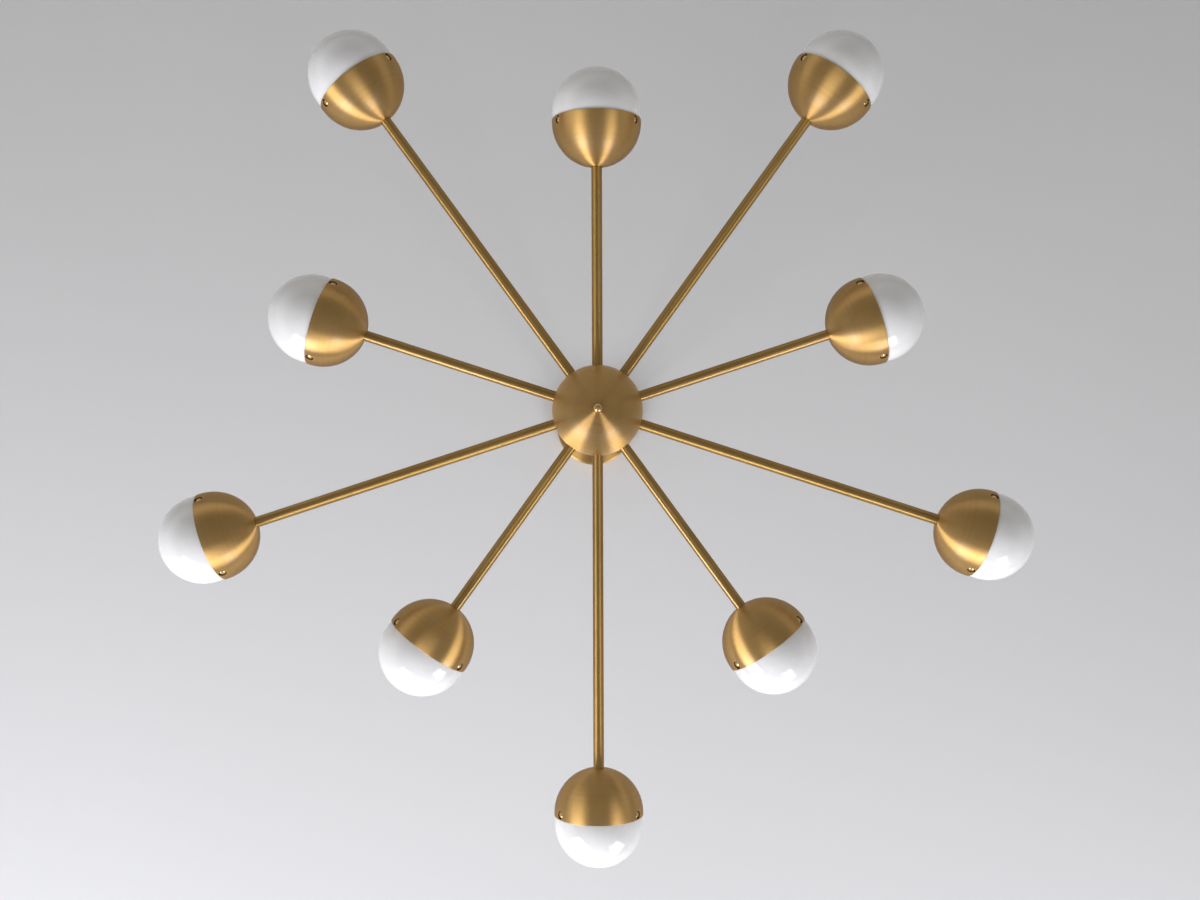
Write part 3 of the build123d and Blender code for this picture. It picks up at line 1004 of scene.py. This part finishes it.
@dataclass(frozen=True)
class Cup:
    """Spun dome cup with three pressed screw pockets at its rim. Its seat is its rim, facing the hub."""

    radius: float = 50 * MM
    segments: int = 144
    steps: tuple[int, int] = (48, 32)  # of the section, outside and inside
    wall: float = 1 * MM
    skirt: float = 2.4 * MM  # from the rim to the level of the dome's centre
    flat: float = 6.5 * MM  # radius of the flat at the pole
    hole: float = 5.2 * MM  # in that flat
    rim_round: float = 0.35 * MM
    rim_steps: int = 4
    pockets: int = 3
    pocket_segments: int = 40
    pocket_radius: float = 4.3 * MM
    pocket_wall: float = 0.8 * MM
    pocket_depth: float = 3.1 * MM
    pocket_mouth: float = 0.45 * MM  # how much its mouth widens all round
    mouth_turn: float = 60.0  # degrees that the mouth curves outwards
    pocket_reach: tuple[float, float] = (0.75, 1.1)  # of the radius, where the cut for it starts and ends
    back_reach: float = 0.85  # of the wall, how far under its outside a pocket's back ends
    boss_radius: float = 3.2 * MM
    boss_height: float = 2.5 * MM
    bore: float = 2.05 * MM
    station: float = 5.6 * MM  # from the rim to the screws' axes

    @property
    def depth(self) -> float:
        """From the rim to the flat at the pole."""
        return self.skirt + sqrt(self.radius**2 - self.flat**2)

    @property
    def floor(self) -> float:
        """From the cup's axis to the floor of a pocket."""
        return self.radius - self.pocket_depth

    @property
    def back_top(self) -> float:
        """From the cup's axis to where a pocket's back runs into the wall."""
        return self.radius - self.back_reach * self.wall

    def dome(self) -> bpy.types.Mesh:
        """Make the plain dome.

        Returns:
            The dome, its rim on its seat.
        """
        inside, inner_pole = self.radius - self.wall, self.depth - self.wall
        curve = self.rim_round
        outer_steps, inner_steps = self.steps
        section = [
            (self.hole, self.depth),
            *arc((0, self.skirt), self.radius, degrees(acos(self.flat / self.radius)), 0, outer_steps),
            *arc((self.radius - curve, curve), curve, 0, -90, self.rim_steps),
            *arc((inside + curve, curve), curve, -90, -180, self.rim_steps),
            *arc((0, self.skirt), inside, 0, degrees(asin((inner_pole - self.skirt) / inside)), inner_steps),
            (self.hole, inner_pole),
        ]
        return spun(section, self.segments)

    def pocket_seats(self) -> list[Seat]:
        """Give the pockets' seats, even either side of the bottom.

        Returns:
            Seats at the cup's axis, each facing out along a screw.
        """
        turns = [(2 * place + 1) * pi / self.pockets for place in range(self.pockets)]
        centre, across = Vector((0, 0, self.station)), Vector((0, 0, -1))
        return [Seat(centre, Vector((cos(turn), sin(turn), 0)), across) for turn in turns]

    def pocket_back(self) -> bpy.types.Mesh:
        """Make the solid that a pocket and its screw's boss are cut from.

        Returns:
            The solid, its height from the cup's axis.
        """
        back = self.floor - self.pocket_wall
        outer = self.pocket_radius + self.pocket_wall
        boss_end = back - self.boss_height
        section = [
            (0, boss_end),
            (self.boss_radius, boss_end),
            (self.boss_radius, back),
            (outer, back),
            (outer, self.back_top),
            (0, self.back_top),
        ]
        return spun(section, self.pocket_segments, closed=False)

    def pocket_room(self) -> bpy.types.Mesh:
        """Make the shape of a pocket's hollow.

        Returns:
            The hollow, with its softened mouth and the screw's bore.
        """
        bore_end, outside = (self.radius * share for share in self.pocket_reach)
        mouth = self.pocket_mouth
        centre = (self.pocket_radius + 2 * mouth, self.back_top)
        section = [
            (0, bore_end),
            (self.bore, bore_end),
            (self.bore, self.floor),
            (self.pocket_radius, self.floor),
            *arc(centre, 2 * mouth, 180, 180 - self.mouth_turn, self.rim_steps),
            (self.pocket_radius + mouth, outside),
            (0, outside),
        ]
        return spun(section, self.pocket_segments, closed=False, start=POCKET_START)

    def mesh(self) -> bpy.types.Mesh:
        """Make the cup with its pockets."""
        places = [seat.matrix() for seat in self.pocket_seats()]
        backs = joined(moved(self.pocket_back(), place) for place in places)
        rooms = joined(moved(self.pocket_room(), place) for place in places)
        return combined(combined(self.dome(), backs, Work.WELD), rooms, Work.CUT)


@dataclass(frozen=True)
class ShadeScrew:
    """Domed brass screw that holds a globe's neck. Its seat is its head's underside, facing outward."""

    head_radius: float = 3.5 * MM
    head_height: float = 2.6 * MM
    shank_radius: float = 2 * MM
    shank_length: float = 6.57 * MM
    edge: float = 0.25 * MM
    segments: int = 40
    steps: int = 12  # of the crown

    def mesh(self) -> bpy.types.Mesh:
        """Make the screw.

        Returns:
            The screw, its shank inward of its seat.
        """
        crown = self.head_height / 2
        crown_radius = (self.head_radius**2 + crown**2) / (2 * crown)
        start = degrees(acos((self.head_radius - self.edge) / crown_radius))
        section = [
            (0, -self.shank_length),
            (self.shank_radius - self.edge, -self.shank_length),
            (self.shank_radius, self.edge - self.shank_length),
            (self.shank_radius, 0),
            (self.head_radius - self.edge, 0),
            (self.head_radius, self.edge),
            (self.head_radius, crown - self.edge),
            *arc((0, self.head_height - crown_radius), crown_radius, start, 90, self.steps),
        ]
        return spun(section, self.segments, closed=False)


@dataclass(frozen=True)
class Globe:
    """Opal glass globe with a plain neck. Its seat is the cup's rim, facing outward."""

    mouth: float = 48.67 * MM  # radius in the plane of the cup's rim
    bulge: float = 9 * MM  # from that plane out to its centre
    wall: float = 3 * MM
    neck: float = 40 * MM  # outer radius
    neck_length: float = 14 * MM
    neck_round: float = 1.2 * MM
    segments: int = 128
    steps: tuple[int, int] = (48, 36)  # of the section, outside and inside
    neck_steps: tuple[int, int] = (5, 10)  # at the neck's root and at its end

    @property
    def radius(self) -> float:
        """Radius of the ball."""
        return hypot(self.mouth, self.bulge)

    def mesh(self) -> bpy.types.Mesh:
        """Make the globe.

        Returns:
            The globe, its neck's end fire-polished.
        """
        inside, bore = self.radius - self.wall, self.neck - self.wall
        curve, half_wall = self.neck_round, self.wall / 2
        middle = (0, self.bulge)
        outer_steps, inner_steps = self.steps
        root_steps, end_steps = self.neck_steps
        section = [
            *arc(middle, self.radius, 90, -degrees(asin(self.bulge / self.radius)), outer_steps),
            *arc((self.neck + curve, -curve), curve, 90, 180, root_steps),
            *arc((self.neck - half_wall, half_wall - self.neck_length), half_wall, 0, -180, end_steps),
            *arc((bore + curve, self.wall - curve), curve, 180, 90, root_steps),
            *arc(middle, inside, -degrees(asin((self.bulge - self.wall) / inside)), 90, inner_steps),
        ]
        return spun(section, self.segments, closed=False)


@dataclass(frozen=True)
class Bulb:
    """Frosted two-pin capsule bulb. Its seat is its shoulder, facing outward."""

    radius: float = 6.75 * MM
    length: float = 36 * MM
    segments: int = 48
    tip_steps: int = 16
    shoulder_round: float = 1.5 * MM
    shoulder_steps: int = 6
    foot: tuple[float, float, float] = (5.8 * MM, 13.8 * MM, 8.6 * MM)  # its two widths and its height
    foot_edge: float = 0.8 * MM
    pin_radius: float = 0.7 * MM
    pin_length: float = 8 * MM
    pin_spacing: float = 9 * MM
    pin_segments: int = 20
    pin_steps: int = 5

    def capsule(self) -> bpy.types.Mesh:
        """Make the round glass.

        Returns:
            The glass, its shoulder on its seat.
        """
        curve = self.shoulder_round
        section = [
            (0, 0),
            *arc((self.radius - curve, curve), curve, -90, 0, self.shoulder_steps),
            *arc((0, self.length - self.radius), self.radius, 0, 90, self.tip_steps),
        ]
        return spun(section, self.segments, closed=False)

    def pinch(self) -> bpy.types.Mesh:
        """Make the pressed foot.

        Returns:
            The foot, under the seat.
        """
        bm = bmesh.new()
        bmesh.ops.create_cube(bm, size=1.0)
        bmesh.ops.scale(bm, vec=self.foot, verts=bm.verts)
        bmesh.ops.translate(bm, vec=(0, 0, -self.foot[2] / 2), verts=bm.verts)
        bmesh.ops.bevel(
            bm,
            geom=list(bm.edges),
            offset=self.foot_edge,
            affect="EDGES",
            segments=SMALL_STEPS,
            profile=0.5,
            material=-1,
        )
        return finished_mesh(bm)

    def pins(self) -> bpy.types.Mesh:
        """Make the two pins.

        Returns:
            Both pins, under the foot.
        """
        top = -self.foot[2]
        tip = (0, top - self.pin_length + self.pin_radius)
        section = [(0, top), (self.pin_radius, top), *arc(tip, self.pin_radius, 0, -90, self.pin_steps)]
        pin = spun(section, self.pin_segments, closed=False)
        return joined(moved(pin, Matrix.Translation((0, side * self.pin_spacing / 2, 0))) for side in (-1, 1))


@dataclass
class Arm:
    """One arm: its tube, cup, shade screws, bulb and globe."""

    number: int
    azimuth: float
    hub_level: float
    start: float
    length: float
    holder_front: float = 18.73 * MM  # from the cup's rim back to the holder's front
    bulb_gap: float = 0.3 * MM

    @property
    def name(self) -> str:
        """The arm's number as the model's names give it."""
        return f"{self.number:02}"

    def seat(self, reach: float, facing: int = 1) -> Seat:
        """Seat square to the arm.

        Args:
            reach: Distance from the hub's axis.
            facing: 1 for outward, -1 for inward.

        Returns:
            The seat, its X straight down.
        """
        out = Vector((cos(self.azimuth), sin(self.azimuth), 0))
        return Seat(out * reach + Vector((0, 0, self.hub_level)), out * facing, Vector((0, 0, -1)))

    def build(
        self, tube: Tube, shapes: dict[str, bpy.types.Mesh], rim: float, screw_places: list[Matrix]
    ) -> None:
        """Add the arm's pieces.

        Args:
            tube: Section of the arm's tube.
            shapes: Meshes of the repeated pieces, about their own seats.
            rim: Distance from the tube's outer end to the cup's rim.
            screw_places: Places of the shade screws from the cup's seat.
        """
        reach = self.start + self.length + rim
        outward, inward = self.seat(reach).matrix(), self.seat(reach, -1).matrix()
        rod = moved(tube.mesh(self.length), self.seat(self.start).matrix())
        add_piece(f"rod_{self.name}", rod, TUBE, "fixture", [f"arm_{self.name}"])
        add_piece(f"dome_{self.name}", moved(shapes["cup"], inward), SPUN, "fixture", [f"cup_{self.name}"])
        screws = joined(moved(shapes["screw"], inward @ place) for place in screw_places)
        screw_piece = add_piece(f"screws_{self.name}", screws, TURNED, "fixture")
        if self.number == 1:
            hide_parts("shade_screws")
        shoulder = self.seat(reach - self.holder_front + self.bulb_gap).matrix()
        glass = joined([moved(shapes["capsule"], shoulder), moved(shapes["pinch"], shoulder)])
        bulb = f"bulb_{self.name}"
        add_piece(f"capsule_{self.name}", glass, FROSTED, bulb, [bulb])
        add_piece(f"pins_{self.name}", moved(shapes["pins"], shoulder), ZINC, bulb)
        shade = f"glass_{self.name}"
        add_piece(f"globe_{self.name}", moved(shapes["globe"], outward), OPAL, shade, [shade])


@dataclass
class Arms:
    """All ten arms, long and short in turn round the hub."""

    hub_level: float
    count: int = 10
    first_azimuth: float = -pi / 2  # arm 01 points down in the photograph
    lengths: tuple[float, float] = (375 * MM, 246 * MM)  # of the long and the short tubes
    start: float = 26.991 * MM  # from the hub's axis to the tubes' inner ends
    tube: Tube = field(default_factory=Tube)
    cup: Cup = field(default_factory=Cup)
    screw_gap: float = 0.3 * MM  # from a pocket's floor to the screw's head

    def members(self) -> list[Arm]:
        """Make the list of arms."""
        return [
            Arm(
                number=place + 1,
                azimuth=self.first_azimuth + place * tau / self.count,
                hub_level=self.hub_level,
                start=self.start,
                length=self.lengths[place % 2],
            )
            for place in range(self.count)
        ]

    def hub_seats(self) -> list[Seat]:
        """Seats of the arms at the hub's axis."""
        return [arm.seat(0.0) for arm in self.members()]

    def build(self) -> None:
        """Add every arm's pieces."""
        bulb = Bulb()
        shapes = {
            "cup": self.cup.mesh(),
            "screw": ShadeScrew().mesh(),
            "globe": Globe().mesh(),
            "capsule": bulb.capsule(),
            "pinch": bulb.pinch(),
            "pins": bulb.pins(),
        }
        lift = self.cup.floor + self.screw_gap
        places = [seat.along(lift).matrix() for seat in self.cup.pocket_seats()]
        for arm in self.members():
            arm.build(self.tube, shapes, self.cup.depth, places)


@dataclass
class Fixings:
    """Hidden hardware whose shape the model already has, and which only needs its finish."""

    finishes: dict[str, Finish] = field(
        default_factory=lambda: {
            "mounting_bracket": ZINC,
            "hanger_nipple": ZINC,
            "terminal_block": PLASTIC,
            "hub_core": BLANK,
            "hub_strap": ZINC,
            "strap_screws": ZINC,
            "hub_pipe": ZINC,
            "finial_stud": ZINC,
            "threaded_nipples": ZINC,
            "lock_nuts": ZINC,
            "holder_bases": ZINC,
            "lampholders": CERAMIC,
        }
    )

    def build(self, nodes: dict[str, bpy.types.Object]) -> None:
        """Give each of the model's own nodes its material.

        Args:
            nodes: The frame's nodes by name.
        """
        for name, finish in self.finishes.items():
            materials = nodes[name].data.materials
            materials.clear()
            materials.append(finish.material())
            LOG.info("%s keeps the model's mesh", name)


# ---- Studio -------------------------------------------------------------------------------------------


@dataclass(frozen=True)
class Softbox:
    """One soft lamp: its azimuth about the stem, its power in watts and its sides in metres."""

    name: str
    turn: float
    power: float
    size: tuple[float, float]


@dataclass
class Studio:
    """Pale ceiling over the light, pale floor under it, two softboxes beside it, and the camera below."""

    hub_level: float
    ceiling_width: float = 9.0
    floor_width: float = 9.0
    floor_level: float = -2.5
    ceiling_gap: float = 0.5 * MM
    canopy_room: float = 57 * MM  # light gets in here from above, so that the canopy's inside isn't black
    ceiling_tone: float = 0.725
    floor_tone: float = 0.46
    world_tone: float = 0.7
    world_lean: tuple[float, float, float] = (0.17, -0.06, 0.0)  # how much paler the world is this way
    boxes: tuple[Softbox, ...] = (
        Softbox("softbox_left", turn=radians(-52), power=46.0, size=(1.2, 1.4)),
        Softbox("softbox_right", turn=radians(-121), power=29.0, size=(0.9, 1.2)),
    )
    box_reach: float = 2.5  # from the stem's axis
    box_drop: float = 0.7  # under the arms' level
    box_tint: Colour = (0.97, 0.985, 1.09)
    paint_tint: Colour = (1.0, 0.993, 0.965)
    paint_clouds: float = 0.8  # uneven patches to a metre
    paint_fade: float = 0.97  # how pale the darkest of them is, as a share of the tone

    def surface(
        self, name: str, width: float, tone: float, height: float, facing: int, opening: float = 0.0
    ) -> None:
        """Add a level sheet that shows from its front only.

        Args:
            name: Its name.
            width: Length of its sides.
            tone: How pale its paint is.
            height: Its height.
            facing: 1 for up, -1 for down.
            opening: Radius about the stem's axis where it lets light through, though it still shows.
        """
        bm = bmesh.new()
        bmesh.ops.create_grid(bm, x_segments=1, y_segments=1, size=width / 2)
        sheet = bpy.data.objects.new(name, moved(finished_mesh(bm), level_seat(height, facing).matrix()))
        bpy.context.scene.collection.objects.link(sheet)
        paint = bpy.data.materials.new(name)
        paint.use_nodes = True
        paint.node_tree.nodes.clear()
        graph = Graph(paint.node_tree)
        place = graph.node("TexCoord").outputs["Object"]
        patches = graph.noise(self.paint_clouds, vector=place)
        cloud = graph.spread(patches, tone * self.paint_fade, tone)
        parts = [graph.maths("MULTIPLY", cloud, share) for share in self.paint_tint]
        shade = graph.node("CombineColor", dict(enumerate(parts))).outputs[0]
        front = graph.node("BsdfDiffuse", {"Color": shade})
        back = graph.node("BsdfTransparent")
        facing_away = graph.node("NewGeometry").outputs["Backfacing"]
        reach = graph.node("VectorMath", {0: place}, operation="LENGTH").outputs["Value"]
        unseen = graph.maths("SUBTRACT", 1.0, graph.node("LightPath").outputs["Is Camera Ray"])
        skylight = graph.maths("MULTIPLY", graph.maths("LESS_THAN", reach, opening), unseen)
        clear = graph.maths("MAXIMUM", facing_away, skylight)
        both = graph.node("MixShader", {0: clear, 1: front.outputs[0], 2: back.outputs[0]})
        graph.node("OutputMaterial", {"Surface": both.outputs[0]})
        sheet.data.materials.append(paint)

    def softbox(self, box: Softbox) -> None:
        """Add a softbox that faces the hub.

        Args:
            box: Its place, power and size.
        """
        lamp = bpy.data.lights.new(box.name, "AREA")
        lamp.shape = "RECTANGLE"
        lamp.size, lamp.size_y = box.size
        lamp.energy = box.power
        lamp.color = self.box_tint
        rig = bpy.data.objects.new(box.name, lamp)
        out = Vector((cos(box.turn), sin(box.turn), 0)) * self.box_reach
        rig.location = out + Vector((0, 0, self.hub_level - self.box_drop))
        aim = Vector((0, 0, self.hub_level)) - rig.location
        rig.rotation_euler = aim.to_track_quat("-Z", "Y").to_euler()
        rig.visible_camera = False
        bpy.context.scene.collection.objects.link(rig)

    def world(self) -> None:
        """Fill the room's sides with plain pale light, a little paler on one side."""
        world = bpy.data.worlds.new("studio")
        world.use_nodes = True
        graph = Graph(world.node_tree)
        way = graph.node("TexCoord").outputs["Generated"]
        lean = graph.node("VectorMath", {0: way, 1: self.world_lean}, operation="DOT_PRODUCT")
        tone = graph.maths("ADD", lean.outputs["Value"], self.world_tone)
        shade = graph.node("CombineColor", {0: tone, 1: tone, 2: tone}).outputs[0]
        world.node_tree.links.new(shade, world.node_tree.nodes["Background"].inputs["Color"])
        bpy.context.scene.world = world

    def build(self) -> None:
        """Add the whole studio."""
        self.surface(
            "studio_ceiling", self.ceiling_width, self.ceiling_tone, self.ceiling_gap, -1, self.canopy_room
        )
        self.surface("studio_floor", self.floor_width, self.floor_tone, self.floor_level, 1)
        for box in self.boxes:
            self.softbox(box)
        self.world()
        bpy.context.scene.view_settings.view_transform = "Standard"


@dataclass
class Viewpoint:
    """The photograph's camera: under the hub, looking up, its frame 1200 by 900 pixels."""

    hub_level: float
    frame_width: float = 1200.0
    frame_height: float = 900.0
    focal_pixels: float = 1303.57
    axis_pixel: tuple[float, float] = (603.13, 476.52)  # where the camera's axis meets the frame
    hub_offset: tuple[float, float, float] = (-6.33 * MM, -74.3 * MM, 1463.3 * MM)  # right, down, ahead
    tilt: tuple[float, float, float] = (0.33, -0.70, -0.20)  # degrees from straight up
    sensor: float = 36.0  # width in millimetres
    nearest: float = 10 * MM

    def build(self) -> None:
        """Add the camera and make it the scene's."""
        camera = bpy.data.cameras.new("photo_camera")
        camera.sensor_width = self.sensor
        camera.lens = self.sensor * self.focal_pixels / self.frame_width
        camera.shift_x = (self.frame_width / 2 - self.axis_pixel[0]) / self.frame_width
        camera.shift_y = (self.axis_pixel[1] - self.frame_height / 2) / self.frame_width
        camera.clip_start = self.nearest
        turn = Euler([radians(angle) for angle in self.tilt], "XYZ").to_matrix()
        to_camera = turn @ Matrix.Diagonal((-1, -1, 1))
        right, down, ahead = to_camera
        place = Vector((0, 0, self.hub_level)) - to_camera.transposed() @ Vector(self.hub_offset)
        rig = bpy.data.objects.new("photo_camera", camera)
        rig.matrix_world = Matrix.Translation(place) @ Matrix((right, -down, -ahead)).transposed().to_4x4()
        bpy.context.scene.collection.objects.link(rig)
        bpy.context.scene.camera = rig


def main() -> None:
    """Build the chandelier's looks and its studio."""
    logging.basicConfig(level=logging.INFO, format="%(message)s")
    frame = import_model()
    hub_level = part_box("hub_lower_shell")[1].z
    Viewpoint(hub_level).build()
    Studio(hub_level).build()
    arms = Arms(hub_level)
    Canopy().build()
    stem_low, stem_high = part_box("stem")
    stem = moved(arms.tube.mesh(stem_high.z - stem_low.z), level_seat(stem_low.z).matrix())
    add_piece("stem_tube", stem, TUBE, "fixture", ["stem"])
    Hub(hub_level).build(arms.hub_seats())
    arms.build()
    Fixings().build(frame["nodes"])


if __name__ == "__main__":
    main()
